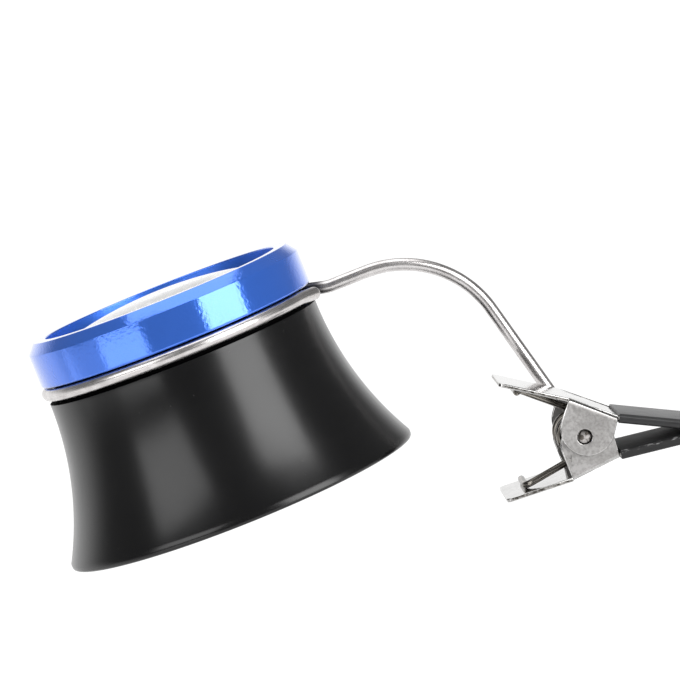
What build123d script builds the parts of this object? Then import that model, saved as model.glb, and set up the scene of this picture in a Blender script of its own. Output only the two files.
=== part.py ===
from build123d import *
from dataclasses import dataclass
import math
import os

# Clip-on eyeglass loupe: a flared eye cup with a screwed bezel and two lenses, held in a sprung
# wire ring whose arm ends as the hinge axle of a small sprung spectacle clip.
# The origin is the centre of the eye rim, +Z runs up the optical axis and +X points to the clip.
# Lengths are in millimetres and angles in degrees.

# Eye cup
rim_diameter = 39.0
cup_height = 17.35
cup_wall = 1.6
lip_height = 0.6
lip_rounding = 0.3
spigot_wall = 1.35
ledge_width = 0.85
ledge_height = 0.8
groove_depth = 1.3
groove_height = 1.95

# Bezel
bezel_diameter = 30.8
bezel_wall = 1.45
bezel_height = 4.82
bezel_chamfer_height = 1.1
bezel_lip_width = 0.7
bezel_land = 1.4
bezel_lip_depth = 1.5
bezel_rounding = 0.15
bezel_foot_rounding = 0.25

# Lenses and the spacer between them
lens_curve = 50.0
front_lens_play = 0.15
front_lens_edge = 0.97
front_dome_proud = 0.2
rear_lens_edge = 1.2
rear_lens_flat = 0.4
spacer_height = 5.0
spacer_wall = 0.6
lens_clearance = 0.05
thread_clearance = 0.05

# Wire ring and arm
wire_diameter = 1.4
ring_gap_above = 0.15
ring_clearance = 0.35
ring_end_angle = 328.0
ring_exit_bend = 2.8
ring_exit_run = 0.2
arm_drop = 0.85
arm_drop_reach = 3.4
arm_drop_bend = 4.0
arm_steepness = 76.0
arch_run = 3.9
free_end_bend = 8.0
free_end_run = 2.2
free_end_length = 3.35
free_end_drop = 0.26
free_end_rounding = 0.55
axle_bend = 1.05
axle_proud = 0.1
axle_end_rounding = 0.2

# Clip placing: the axle in the loupe's frame, and how far the jaws point below +X
axle_x = 36.46
axle_z = -6.42
clip_tilt = 18.1
arm_side_clearance = 0.33

# Clip halves, in the clip's own frame: origin on the axle, +X towards the jaw tips
clip_width = 10.8
sheet = 0.42
fold_start = 1.4
fold_end = 3.7
jaw_reach = 14.9
jaw_margin = 0.3
ear_radius = 2.9
ear_centre_ahead = 0.35
ear_centre_rise = 0.85
ear_clearance = 0.08
fold_rounding = 0.6
lever_rounding = 0.6
axle_clearance = 0.1
hole_rounding = 0.13
closing_offset = 0.2
punch_diameter = 0.3
punch_depth = 0.12
punch_back = 1.6
punch_down = 2.5

# Each half's lever reach behind the axle, and the heights of its outer face at the lever tip
# and at both folds
upper_lever_reach = 8.75
upper_lever_height = 6.3
upper_fold_height = 4.2
upper_neck_height = 1.95
upper_jaw_slope = 9.1
lower_lever_reach = 8.55
lower_lever_height = 6.55
lower_fold_height = 4.65
lower_neck_height = 2.4
lower_jaw_slope = 10.3

# Rubber sleeves on the jaws
sleeve_wall = 0.3
sleeve_start = 0.08
sleeve_overhang = 0.4
sleeve_rounding = 0.45
pad_gap = 0.06

# Torsion spring
spring_wire = 0.75
spring_coil_diameter = 3.9
spring_offset = 0.5
spring_half_width = 2.9
spring_whole_turns = 2
spring_bend = 0.9
spring_seat_clearance = 0.03
upper_bar_back = 6.72
upper_bar_end = 2.2
lower_bar_back = 6.35
lower_bar_end = 3.2

# How far a cutting tool runs past what it cuts
overrun = 1.0

# Sizes worked out from those above
rim_radius = rim_diameter / 2
bezel_radius = bezel_diameter / 2
bezel_bore = bezel_radius - bezel_wall
spigot_radius = bezel_bore - thread_clearance
neck_radius = spigot_radius + groove_depth
front_lens_radius = bezel_bore - front_lens_play
bezel_opening = front_lens_radius - bezel_lip_width
rear_lens_bore = spigot_radius - spigot_wall
rear_lens_radius = rear_lens_bore - lens_clearance
aperture = rear_lens_bore - ledge_width
bezel_bottom = cup_height + groove_height
bezel_top = bezel_bottom + bezel_height
lip_underside = bezel_top - bezel_lip_depth
front_lens_top = lip_underside - lens_clearance
front_lens_seat = front_lens_top - front_lens_edge
spigot_top = front_lens_seat - lens_clearance
wire_radius = wire_diameter / 2
ring_radius = spigot_radius + ring_clearance + wire_radius
ring_height = bezel_bottom - ring_gap_above - wire_radius
clip_half_width = clip_width / 2
arm_side = clip_half_width + arm_side_clearance + wire_radius
exit_span = ring_radius + ring_exit_bend
exit_slant = math.atan(ring_exit_run / exit_span)
exit_reach = (arm_side + ring_exit_bend) / math.hypot(exit_span, ring_exit_run)
ring_exit_angle = math.degrees(math.asin(exit_reach) + exit_slant)
flare_spread = rim_radius - neck_radius
flare_rise = cup_height - lip_height
flare_curve = (flare_rise ** 2 + flare_spread ** 2) / (2 * flare_spread)
clip_place = Pos(axle_x, 0, axle_z) * Rot(0, clip_tilt, 0)


@dataclass
class HalfSizes:
    """The sizes in which the two clip halves differ, from the axle."""

    lever_reach: float
    lever_height: float
    fold_height: float
    neck_height: float
    jaw_slope: float
    ear_half_width: float
    closing_height: float


upper_sizes = HalfSizes(
    upper_lever_reach,
    upper_lever_height,
    upper_fold_height,
    upper_neck_height,
    upper_jaw_slope,
    clip_half_width,
    -closing_offset,
)
lower_sizes = HalfSizes(
    lower_lever_reach,
    lower_lever_height,
    lower_fold_height,
    lower_neck_height,
    lower_jaw_slope,
    clip_half_width - sheet - ear_clearance,
    closing_offset,
)


def turned(outline):
    """A round piece from its half section, drawn as radius and height."""
    return revolve(Plane.XZ * make_face(outline), Axis.Z)


def flare_radius(height, inset=0):
    """Radius of the cup's hollow flare at a height, or of a face parallel to it inside the wall."""
    curve = flare_curve + inset
    return neck_radius + flare_curve - math.sqrt(curve ** 2 - (cup_height - height) ** 2)


def flare_arc(low, high, inset=0):
    """The flare's arc between two heights."""
    middle = (low + high) / 2
    points = [(flare_radius(height, inset), height) for height in (low, middle, high)]
    return ThreePointArc(*points)


def sag(radius):
    """Depth of a lens's curved face from its apex to a radius."""
    return lens_curve - math.sqrt(lens_curve ** 2 - radius ** 2)


def dome_arc(radius, edge_height, side):
    """A lens face's arc from the axis to the edge of its dome; side is 1 upwards, -1 downwards."""
    apex = edge_height + side * sag(radius)
    middle = radius / 2
    return ThreePointArc((0, apex), (middle, apex - side * sag(middle)), (radius, edge_height))


def eye_cup():
    """Flared black cup with the lens ledge, the wire's groove and the spigot for the bezel."""
    ledge_top = spigot_top - spacer_height - rear_lens_edge
    ledge_bottom = ledge_top - ledge_height
    inner_ledge = (flare_radius(ledge_bottom, cup_wall), ledge_bottom)
    walls = Polyline(
        (neck_radius, cup_height),
        (spigot_radius, cup_height),
        (spigot_radius, spigot_top),
        (rear_lens_bore, spigot_top),
        (rear_lens_bore, ledge_top),
        (aperture, ledge_top),
        (aperture, ledge_bottom),
        inner_ledge,
    )
    mouth = Polyline((flare_radius(0, cup_wall), 0), (rim_radius, 0), (rim_radius, lip_height))
    outer = flare_arc(lip_height, cup_height)
    inner = flare_arc(0, ledge_bottom, cup_wall)
    cup = turned(mouth + outer + walls + inner)
    return fillet(cup.edges().group_by(Axis.Z)[0], lip_rounding)


def bezel_ring():
    """Blue ring that screws over the spigot and holds the front lens under its lip."""
    corners = [
        (bezel_bore, bezel_bottom, 0),
        (bezel_radius, bezel_bottom, bezel_foot_rounding),
        (bezel_radius, bezel_top - bezel_chamfer_height, bezel_rounding),
        (bezel_opening + bezel_land, bezel_top, bezel_rounding),
        (bezel_opening, bezel_top, 0),
        (bezel_opening, lip_underside, 0),
        (bezel_bore, lip_underside, 0),
    ]
    points = [(radius, height) for radius, height, rounding in corners]
    roundings = [rounding for radius, height, rounding in corners]
    return turned(FilletPolyline(*points, radius=roundings, close=True))


def front_lens():
    """Large lens, curved on both faces, whose dome stands a little proud of the bezel."""
    dome = bezel_opening - lens_clearance
    rise = bezel_top + front_dome_proud - front_lens_top
    crown = (rise ** 2 + dome ** 2) / (2 * rise)
    middle = dome / 2
    middle_height = front_lens_top + rise - crown + math.sqrt(crown ** 2 - middle ** 2)
    top = ThreePointArc((dome, front_lens_top), (middle, middle_height), (0, front_lens_top + rise))
    back = rear_lens_radius - spacer_wall - lens_clearance
    bottom = dome_arc(back, front_lens_seat, -1)
    edge = Polyline(
        (back, front_lens_seat),
        (front_lens_radius, front_lens_seat),
        (front_lens_radius, front_lens_top),
        (dome, front_lens_top),
    )
    axis = Line((0, front_lens_top + rise), (0, front_lens_seat - sag(back)))
    return turned(bottom + edge + top + axis)


def rear_lens():
    """Smaller lens on the cup's ledge, flat towards the eye and domed towards the front lens."""
    seat = spigot_top - spacer_height - rear_lens_edge
    shoulder = seat + rear_lens_edge
    dome = rear_lens_radius - spacer_wall - rear_lens_flat
    top = dome_arc(dome, shoulder, 1)
    edge = Polyline(
        (dome, shoulder), (rear_lens_radius, shoulder), (rear_lens_radius, seat), (0, seat)
    )
    axis = Line((0, seat), (0, shoulder + sag(dome)))
    return turned(top + edge + axis)


def lens_spacer():
    """Thin tube that keeps the two lenses apart."""
    tube = Circle(rear_lens_radius) - Circle(rear_lens_radius - spacer_wall)
    return Pos(0, 0, spigot_top - spacer_height) * extrude(tube, amount=spacer_height)


def on_ring(angle):
    """A point of the wire ring's centre line."""
    turn = math.radians(angle)
    return Vector(ring_radius * math.cos(turn), ring_radius * math.sin(turn), ring_height)


def along_ring(angle):
    """Direction of the ring at an angle, anticlockwise seen from above."""
    turn = math.radians(angle)
    return Vector(-math.sin(turn), math.cos(turn), 0)


def wire_end(tube, tip, rounding):
    """The wire with its cut end at a point rounded off."""
    return fillet(tube.edges().filter_by(GeomType.CIRCLE).sort_by_distance(tip)[:1], rounding)


def wire_arm():
    """One wire: hinge axle, arched arm, open ring round the loupe and its free end."""
    leave = on_ring(ring_exit_angle)
    heading = along_ring(ring_exit_angle)
    turn_out = leave + heading * ((arm_side - leave.Y) / heading.Y)
    run_height = ring_height - arm_drop
    level = Vector(turn_out.X + arm_drop_reach, arm_side, run_height)
    peak_x = axle_x - (run_height - axle_z) / math.tan(math.radians(arm_steepness))
    peak = Vector(peak_x, arm_side, run_height)
    corner = Vector(axle_x, arm_side, axle_z)
    axle_tip = Vector(axle_x, -clip_half_width - axle_proud, axle_z)
    drop_leg = arm_drop_bend * math.tan(math.atan(arm_drop / arm_drop_reach) / 2)
    arch_leg = peak_x - level.X - drop_leg - arch_run
    arch_bend = arch_leg / math.tan(math.radians(arm_steepness) / 2)
    bends = [axle_bend, arch_bend, arm_drop_bend, ring_exit_bend]
    arm = FilletPolyline(axle_tip, corner, peak, level, turn_out, leave, radius=bends)
    centre = (0, 0, ring_height)
    ring = CenterArc(centre, ring_radius, ring_exit_angle, ring_end_angle - ring_exit_angle)
    ring_end = on_ring(ring_end_angle)
    turn_down = ring_end + along_ring(ring_end_angle) * free_end_run
    tip = turn_down + along_ring(ring_end_angle) * free_end_length - Vector(0, 0, free_end_drop)
    tail = FilletPolyline(ring_end, turn_down, tip, radius=[free_end_bend])
    path = Wire(arm.edges() + ring.edges() + tail.edges())
    section = Plane(axle_tip, z_dir=corner - axle_tip) * Circle(wire_radius)
    wire = sweep(section, path=path)
    wire = wire_end(wire, tip, free_end_rounding)
    return wire_end(wire, axle_tip, axle_end_rounding)


def offset_line(points, distance):
    """A line of flat points moved sideways by a distance, to its left, with mitred corners."""
    ways = [(b - a).normalized() for a, b in zip(points, points[1:])]
    before = [ways[0]] + ways
    after = ways + [ways[-1]]
    moved = []
    for point, first, second in zip(points, before, after):
        left = Vector(-first.Y, first.X)
        mitre = (left + Vector(-second.Y, second.X)) / (1 + first.dot(second))
        moved.append(point + mitre * distance)
    return moved


def strip(points, outside, inside, width):
    """Sheet of a width that follows a line, from one sideways offset to another."""
    outline = offset_line(points, outside) + offset_line(points, -inside)[::-1]
    corners = [(point.X, point.Y) for point in outline]
    face = make_face(Polyline(*corners, close=True))
    return extrude(Plane.XZ.offset(-width / 2) * face, amount=width)


def outer_line(sizes):
    """Outer face of a clip half from the lever tip to the jaw tip, as flat points."""
    jaw_height = sizes.closing_height + pad_gap / 2 + sleeve_wall + sheet
    fall = math.tan(math.radians(sizes.jaw_slope))
    jaw_bend = fold_end + (sizes.neck_height - jaw_height) / fall
    return [
        Vector(-sizes.lever_reach, sizes.lever_height),
        Vector(-fold_start, sizes.fold_height),
        Vector(fold_end, sizes.neck_height),
        Vector(jaw_bend, jaw_height),
        Vector(jaw_reach, jaw_height),
    ]


def ears(line, half_width):
    """Channel whose two walls are the ears round the axle, with rounded folds along its top."""
    start, end = line[1], line[2]
    slope = math.degrees(math.atan2(end.Y - start.Y, end.X - start.X))
    length = (end - start).length
    depth = start.Y + ear_radius
    body = Box(length + 2 * ear_radius, 2 * half_width, depth)
    body = fillet(body.edges().filter_by(Axis.X).group_by(Axis.Z)[-1], fold_rounding)
    hollow = Box(length + 4 * ear_radius, 2 * (half_width - sheet), depth)
    channel = Pos(length / 2, 0, -depth / 2) * (body - Pos(0, 0, -sheet) * hollow)
    channel = Pos(start.X, 0, start.Y) * Rot(0, -slope, 0) * channel
    circle = CenterArc((ear_centre_ahead, ear_centre_rise), ear_radius, 0, 360)
    fold = Line((start.X, start.Y), (end.X, end.Y))
    outline = make_hull([circle.edge(), fold.edge()])
    return channel & extrude(Plane.XZ * outline, amount=clip_width, both=True)


def clip_half(sizes):
    """One bent and folded half of the clip, drawn as the upper one: lever, ears and jaw."""
    line = outer_line(sizes)
    neck_width = 2 * (sizes.ear_half_width - sheet)
    lever = strip(line[:2], 0, sheet, clip_width)
    corners = lever.edges().filter_by(lambda e: abs(e.tangent_at(0).Y) < abs(e.tangent_at(0).Z))
    lever = fillet(corners.group_by(Axis.X)[0], lever_rounding)
    half = strip(line, 0, sheet, neck_width) + lever
    half += strip(line[2:], 0, sheet, clip_width - 2 * jaw_margin)
    half += ears(line, sizes.ear_half_width)
    hole = wire_radius + axle_clearance
    half -= Rot(90, 0, 0) * Cylinder(hole, clip_width + overrun)
    round_edges = half.edges().filter_by(GeomType.CIRCLE)
    rims = round_edges.filter_by(lambda e: abs(e.radius - hole) < axle_clearance).group_by(Axis.Y)
    return fillet(rims[0] + rims[-1], hole_rounding)


def upper_clip_half():
    """The half whose ears lie outside."""
    return clip_place * clip_half(upper_sizes)


def lower_clip_half():
    """The half whose ears lie inside the other's, with a punch mark on each ear."""
    half = mirror(clip_half(lower_sizes), about=Plane.XY)
    face = lower_sizes.ear_half_width
    punch = Rot(90, 0, 0) * Cylinder(punch_diameter / 2, 2 * punch_depth)
    for side in (-1, 1):
        half -= Pos(-punch_back, side * face, -punch_down) * punch
    return clip_place * half


def jaw_sleeve(sizes):
    """Flattened rubber tube over a jaw, drawn for the upper half."""
    line = outer_line(sizes)[2:]
    first = (line[1] - line[0]).normalized()
    last = (line[-1] - line[-2]).normalized()
    route = [line[0] + first * sleeve_start, line[1], line[2] + last * sleeve_overhang]
    tube = strip(route, sleeve_wall, sheet + sleeve_wall, clip_width)
    long_edges = tube.edges().filter_by(lambda e: abs(e.tangent_at(0).X) > abs(e.tangent_at(0).Z))
    tube = fillet(long_edges, sleeve_rounding)
    route[-1] = route[-1] + last * overrun
    route[0] = route[0] - first * overrun
    return tube - strip(route, 0, sheet, clip_width - 2 * jaw_margin)


def upper_jaw_sleeve():
    """Sleeve of the upper jaw."""
    return clip_place * jaw_sleeve(upper_sizes)


def lower_jaw_sleeve():
    """Sleeve of the lower jaw."""
    return clip_place * mirror(jaw_sleeve(lower_sizes), about=Plane.XY)


def spring_seat(sizes, back):
    """Where the spring's end bar lies under a lever, as distance ahead and height."""
    line = outer_line(sizes)
    inset = sheet + spring_wire / 2 + spring_seat_clearance
    start, end = offset_line(line[:2], -inset)
    slope = (end.Y - start.Y) / (end.X - start.X)
    return Vector(-back, start.Y - slope * (start.X + back))


def tangent_angle(point, side):
    """Angle on the coil where a straight leg from a point meets it; side is 1 above, -1 below."""
    away = point + Vector(spring_offset, 0)
    opening = math.acos(spring_coil_diameter / 2 / away.length)
    return math.atan2(away.Y, away.X) - side * opening


def coil_point(start, finish, share):
    """Point and direction of the coil at a share of its winding, which eases in and out."""
    turn = start + (finish - start) * share
    radius = spring_coil_diameter / 2
    eased = share - math.sin(2 * math.pi * share) / (2 * math.pi)
    point = Vector(
        radius * math.cos(turn) - spring_offset,
        spring_half_width * (1 - 2 * eased),
        radius * math.sin(turn),
    )
    advance = -2 * spring_half_width * (1 - math.cos(2 * math.pi * share))
    spin = radius * (finish - start)
    direction = Vector(-spin * math.sin(turn), advance, spin * math.cos(turn))
    return point, direction.normalized()


def biarc(first, first_way, last, last_way):
    """Two arcs that leave one point and reach another along given directions."""
    across = last - first
    both = first_way + last_way
    spread = 2 * (1 - first_way.dot(last_way))
    reach = -across.dot(both) + math.sqrt(across.dot(both) ** 2 + spread * across.dot(across))
    reach = reach / spread
    before = first + first_way * reach
    after = last - last_way * reach
    joint = (before + after) / 2
    opening = TangentArc(first, joint, tangent=first_way)
    closing = TangentArc(joint, last, tangent=after - before)
    return [opening.edge(), closing.edge()]


def least_gap(path):
    """Least gap of the spring to itself, between points over half a turn apart on its wire."""
    steps = 40 * (spring_whole_turns + 2)
    points = [path.position_at(step / steps) for step in range(steps + 1)]
    apart = math.ceil(math.pi * spring_coil_diameter / 2 / (path.length / steps))
    gaps = [
        (points[i] - points[j]).length
        for i in range(steps + 1)
        for j in range(i + apart, steps + 1)
    ]
    return min(gaps) - spring_wire


def torsion_spring():
    """Coil loose on the axle, with a leg to each lever that ends in a bar across it."""
    above = spring_seat(upper_sizes, upper_bar_back)
    below = spring_seat(lower_sizes, lower_bar_back)
    below = Vector(below.X, -below.Y)
    start = tangent_angle(above, 1)
    finish = tangent_angle(below, -1) - 2 * math.pi * spring_whole_turns
    quarters = math.ceil((start - finish) / (math.pi / 2))
    stations = [coil_point(start, finish, step / quarters) for step in range(quarters + 1)]
    coil = []
    for (first, first_way), (last, last_way) in zip(stations, stations[1:]):
        coil += biarc(first, first_way, last, last_way)
    upper_leg = FilletPolyline(
        (above.X, -upper_bar_end, above.Y),
        (above.X, spring_half_width, above.Y),
        stations[0][0],
        radius=[spring_bend],
    )
    lower_leg = FilletPolyline(
        stations[-1][0],
        (below.X, -spring_half_width, below.Y),
        (below.X, lower_bar_end, below.Y),
        radius=[spring_bend],
    )
    path = Wire(upper_leg.edges() + coil + lower_leg.edges())
    section = Plane((above.X, -upper_bar_end, above.Y), z_dir=(0, 1, 0)) * Circle(spring_wire / 2)
    print("torsion_spring: least gap to itself", round(least_gap(path), 3), "mm")
    return clip_place * sweep(section, path=path)


pieces = {
    "eye_cup": eye_cup,
    "bezel_ring": bezel_ring,
    "front_lens": front_lens,
    "lens_spacer": lens_spacer,
    "rear_lens": rear_lens,
    "wire_arm": wire_arm,
    "upper_clip_half": upper_clip_half,
    "lower_clip_half": lower_clip_half,
    "torsion_spring": torsion_spring,
    "upper_jaw_sleeve": upper_jaw_sleeve,
    "lower_jaw_sleeve": lower_jaw_sleeve,
}

os.makedirs("parts", exist_ok=True)
for name, make in pieces.items():
    export_step(make(), f"parts/{name}.step")
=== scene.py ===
"""Looks of a clip-on eyeglass loupe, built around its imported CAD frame.

The frame's origin is the centre of the eye rim, +Z runs up the optical axis and +X points to the
clip. Sizes are written in millimetres, as in the part's source, and MM turns them to metres.
"""

import logging
import math
from collections.abc import Sequence
from dataclasses import dataclass
from enum import Enum

import bmesh
import bpy
import numpy as np
from mathutils import Matrix


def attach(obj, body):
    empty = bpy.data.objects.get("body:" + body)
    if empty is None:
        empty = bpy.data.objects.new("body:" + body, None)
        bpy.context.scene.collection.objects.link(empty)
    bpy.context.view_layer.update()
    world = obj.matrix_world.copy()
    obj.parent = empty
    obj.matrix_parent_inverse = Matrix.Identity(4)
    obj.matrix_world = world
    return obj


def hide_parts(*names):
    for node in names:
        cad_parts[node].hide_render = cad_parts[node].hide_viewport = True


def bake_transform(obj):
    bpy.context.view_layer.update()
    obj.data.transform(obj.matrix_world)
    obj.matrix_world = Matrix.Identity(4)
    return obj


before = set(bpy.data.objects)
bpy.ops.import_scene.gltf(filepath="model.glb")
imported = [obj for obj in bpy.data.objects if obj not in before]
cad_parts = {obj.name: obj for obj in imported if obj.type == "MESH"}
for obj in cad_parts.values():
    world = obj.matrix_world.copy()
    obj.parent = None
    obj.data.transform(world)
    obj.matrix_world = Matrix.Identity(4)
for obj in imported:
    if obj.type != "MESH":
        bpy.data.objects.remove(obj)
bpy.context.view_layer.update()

MM = 0.001
# Points nearer than this, in metres, are merged
MERGED = 1e-7
# An edge between faces that turn by more is shaded sharp
SHARP = math.radians(40)
# A line's corner that turns by less, in radians, is left as it is
STRAIGHT = 2e-4
# Most of a noise texture's values lie between these
NOISE_LOW, NOISE_HIGH = 0.3, 0.7
Tree = bpy.types.NodeTree
Inputs = dict[str | int, object]
log = logging.getLogger("loupe")


class Body(Enum):
    """The moving bodies of the frame."""

    CLIP_UPPER = "clip_upper"
    CLIP_LOWER = "clip_lower"
    ARM = "arm"
    HEAD = "loupe_head"


def linear(code: str) -> tuple[float, float, float, float]:
    """Turns an sRGB hex colour to linear light: ((c + 0.055) / 1.055) ** 2.4 above the toe.

    Args:
        code: Six hex digits after a hash.

    Returns:
        Linear red, green, blue and an alpha of one.
    """
    parts = [int(code[i : i + 2], 16) / 255 for i in (1, 3, 5)]
    light = [c / 12.92 if c <= 0.04045 else ((c + 0.055) / 1.055) ** 2.4 for c in parts]
    return light[0], light[1], light[2], 1.0


def per_mm(size: float) -> float:
    """Texture scale, in cycles a metre, whose pattern repeats about every size millimetres."""
    return 1 / (size * MM)


def feed(node: bpy.types.Node, inputs: Inputs) -> None:
    """Gives a node its inputs' values and links.

    Args:
        node: The node.
        inputs: Socket name or number to a value, to an output socket, or to a node, whose first
            output is linked.
    """
    for name, value in inputs.items():
        if isinstance(value, bpy.types.Node):
            value = value.outputs[0]
        if isinstance(value, bpy.types.NodeSocket):
            node.id_data.links.new(value, node.inputs[name])
        else:
            node.inputs[name].default_value = value


def add_node(tree: Tree, kind: str, inputs: Inputs, **settings: object) -> bpy.types.Node:
    """Adds a node with its settings and its inputs.

    Args:
        tree: The node tree.
        kind: The node's type name, after ShaderNode.
        inputs: What feed gives it.
        **settings: The node's own settings.

    Returns:
        The new node.
    """
    node = tree.nodes.new(f"ShaderNode{kind}")
    for name, value in settings.items():
        setattr(node, name, value)
    feed(node, inputs)
    return node


def add_object(data: bpy.types.ID, columns: Sequence | None = None) -> bpy.types.Object:
    """Adds an object for its data, under the same name.

    Args:
        data: Its mesh, light or camera.
        columns: Its axes and its place, as the columns of its matrix, or none at the origin.

    Returns:
        The new object.
    """
    thing = bpy.data.objects.new(data.name, data)
    if columns is not None:
        matrix = np.eye(4)
        matrix[:3] = np.stack(columns, axis=1)
        thing.matrix_world = Matrix(matrix.tolist())
    bpy.context.scene.collection.objects.link(thing)
    return thing


# Surfaces


def lay_surface(
    name: str,
    rows: np.ndarray,
    material: bpy.types.Material,
    uv: np.ndarray | None = None,
    marks: dict[str, np.ndarray] | None = None,
) -> bpy.types.Object:
    """Lays quads over a grid of points, closes its seams and poles and turns its faces outwards.

    Face (i, j) joins points (i, j), (i, j + 1), (i + 1, j + 1) and (i + 1, j). A seam or a pole
    is closed because its points coincide and are merged.

    Args:
        name: The piece's name.
        rows: Points in millimetres, shaped (rows, columns, 3).
        material: The piece's finish.
        uv: Texture coordinates of the points, shaped (rows, columns, 2), or none.
        marks: Names of attributes, each with a number for every point, or none.

    Returns:
        The new object, in metres at the origin.
    """
    down, across = rows.shape[:2]
    index = np.arange(down * across).reshape(down, across)
    corners = (index[:-1, :-1], index[:-1, 1:], index[1:, 1:], index[1:, :-1])
    faces = np.stack(corners, axis=-1).reshape(-1, 4)
    mesh = bpy.data.meshes.new(name)
    mesh.from_pydata((rows.reshape(-1, 3) * MM).tolist(), [], faces.tolist())
    if uv is not None:
        layer = mesh.uv_layers.new(name="UVMap")
        layer.data.foreach_set("uv", uv.reshape(-1, 2)[faces.ravel()].ravel())
    for mark, values in (marks or {}).items():
        attribute = mesh.attributes.new(mark, "FLOAT", "POINT")
        attribute.data.foreach_set("value", values.astype(np.float32).ravel())
    merged = bmesh.new()
    merged.from_mesh(mesh)
    bmesh.ops.remove_doubles(merged, verts=merged.verts, dist=MERGED)
    bmesh.ops.recalc_face_normals(merged, faces=merged.faces)
    merged.to_mesh(mesh)
    merged.free()
    mesh.shade_smooth()
    mesh.set_sharp_from_angle(angle=SHARP)
    mesh.materials.append(material)
    return add_object(mesh)


def seat(piece: bpy.types.Object, node: str, body: Body) -> None:
    """Puts a piece in a node's place, on its body: hides the node and attaches the piece.

    Args:
        piece: The new piece.
        node: The CAD node that it stands for.
        body: The body that it rides on.
    """
    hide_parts(node)
    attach(piece, body.value)
    log.info("%s: %d faces for %s", piece.name, len(piece.data.polygons), node)


def rounded(points: Sequence, radii: Sequence[float], steps: int = 10) -> np.ndarray:
    """Rounds the corners of an open line.

    At a corner P between unit ways a, towards the point before, and b, towards the one after, an
    arc of radius r has its centre at P + n r / sin(h), where n is the unit bisector and h half of
    the angle between a and b. It starts r / tan(h) from P, and its points are the centre plus
    (foot - centre) cos(t) + tangent r sin(t).

    Args:
        points: The line's corners, in two or three dimensions.
        radii: Radius at each inner corner, nought for a sharp one.
        steps: Arc points at each rounded corner.

    Returns:
        The rounded line's points.
    """
    line = np.asarray(points, float)
    pieces = [line[:1]]
    for before, corner, after, radius in zip(line, line[1:], line[2:], radii):
        back = (before - corner) / np.linalg.norm(before - corner)
        ahead = (after - corner) / np.linalg.norm(after - corner)
        half = math.acos(np.clip(back @ ahead, -1, 1)) / 2
        if radius == 0 or 2 * half > math.pi - STRAIGHT:
            pieces.append(corner[None])
            continue
        bisector = (back + ahead) / np.linalg.norm(back + ahead)
        centre = corner + bisector * radius / math.sin(half)
        foot = corner + back * radius / math.tan(half)
        turn = np.linspace(0, math.pi - 2 * half, steps)[:, None]
        pieces.append(centre + (foot - centre) * np.cos(turn) - back * radius * np.sin(turn))
    pieces.append(line[-1:])
    return np.concatenate(pieces)


def closed_rounded(points: Sequence, radii: Sequence[float], steps: int = 10) -> np.ndarray:
    """Rounds every corner of a closed line, whose first point is repeated at its end.

    Args:
        points: The line's corners.
        radii: Radius at each corner.
        steps: Arc points at each rounded corner.

    Returns:
        The closed line's points, first and last alike.
    """
    line = np.asarray(points, float)
    middle = (line[0] + line[-1]) / 2
    return rounded([middle, *line, middle], radii, steps)


def revolved(profile: np.ndarray, around: int = 240) -> np.ndarray:
    """Turns a profile round Z: (r, z) becomes (r cos t, r sin t, z) for t round a full circle.

    Args:
        profile: Points as radius and height.
        around: Steps round the circle.

    Returns:
        Grid of points whose last column repeats the first.
    """
    turn = np.linspace(0, 2 * math.pi, around + 1)
    radius, height = profile[:, :1], profile[:, 1:]
    flat = (radius * np.cos(turn), radius * np.sin(turn), height + 0 * turn)
    return np.stack(flat, axis=-1)


def unit(vectors: np.ndarray) -> np.ndarray:
    """Vectors scaled to a length of one."""
    return vectors / np.linalg.norm(vectors, axis=-1, keepdims=True)


def arc_length(line: np.ndarray) -> np.ndarray:
    """Distance along a line at each of its points: the running sum of its steps."""
    steps = np.linalg.norm(np.diff(line, axis=0), axis=1)
    return np.concatenate([[0.0], np.cumsum(steps)])


def sampled(line: np.ndarray, along: np.ndarray, stations: np.ndarray) -> np.ndarray:
    """Values of a line at stations along it, straight between its points.

    Args:
        line: Values at the line's points.
        along: Distance along the line at each of its points.
        stations: The distances that are asked for.

    Returns:
        The values there.
    """
    return np.stack([np.interp(stations, along, axis) for axis in line.T], axis=-1)


def evened(line: np.ndarray, spacing: float) -> np.ndarray:
    """Places points on a line at even distances along it.

    Args:
        line: The line's points.
        spacing: Distance between the new points, nearly.

    Returns:
        Points at even distances from end to end.
    """
    along = arc_length(line)
    return sampled(line, along, np.linspace(0, along[-1], max(2, round(along[-1] / spacing))))


def frames_along(path: np.ndarray, reference: Sequence[float]) -> tuple[np.ndarray, np.ndarray]:
    """Two unit vectors across a path: side = way x reference, and up = side x way.

    Args:
        path: The path's points.
        reference: A direction that the path never takes.

    Returns:
        The sides and the ups, one of each for every point.
    """
    way = unit(np.gradient(path, axis=0))
    side = unit(np.cross(way, reference))
    return side, np.cross(side, way)


# Finishes


@dataclass(frozen=True)
class Finish:
    """What every finish shares: its name and its shader's uniform values."""

    name: str
    base: str
    metallic: float = 0.0
    roughness: float = 0.5
    ior: float = 1.5
    specular: float = 0.5
    coat: float = 0.0
    coat_roughness: float = 0.03
    coat_ior: float = 1.5
    transmission: float = 0.0

    def make(self) -> bpy.types.Material:
        """Makes the material, with the finish's own detail over its uniform values.

        Returns:
            The material.
        """
        material = bpy.data.materials.new(self.name)
        material.use_nodes = True
        tree = material.node_tree
        tree.nodes.clear()
        values = {
            "Base Color": linear(self.base),
            "Metallic": self.metallic,
            "Roughness": self.roughness,
            "IOR": self.ior,
            "Specular IOR Level": self.specular,
            "Coat Weight": self.coat,
            "Coat Roughness": self.coat_roughness,
            "Coat IOR": self.coat_ior,
            "Transmission Weight": self.transmission,
        }
        shader = add_node(tree, "BsdfPrincipled", values)
        add_node(tree, "OutputMaterial", {"Surface": shader})
        feed(shader, self.detail(tree))
        return material

    def detail(self, tree: Tree) -> Inputs:
        """What the finish's own patterns give the shader: nothing, unless it is overridden."""
        return {}


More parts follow.
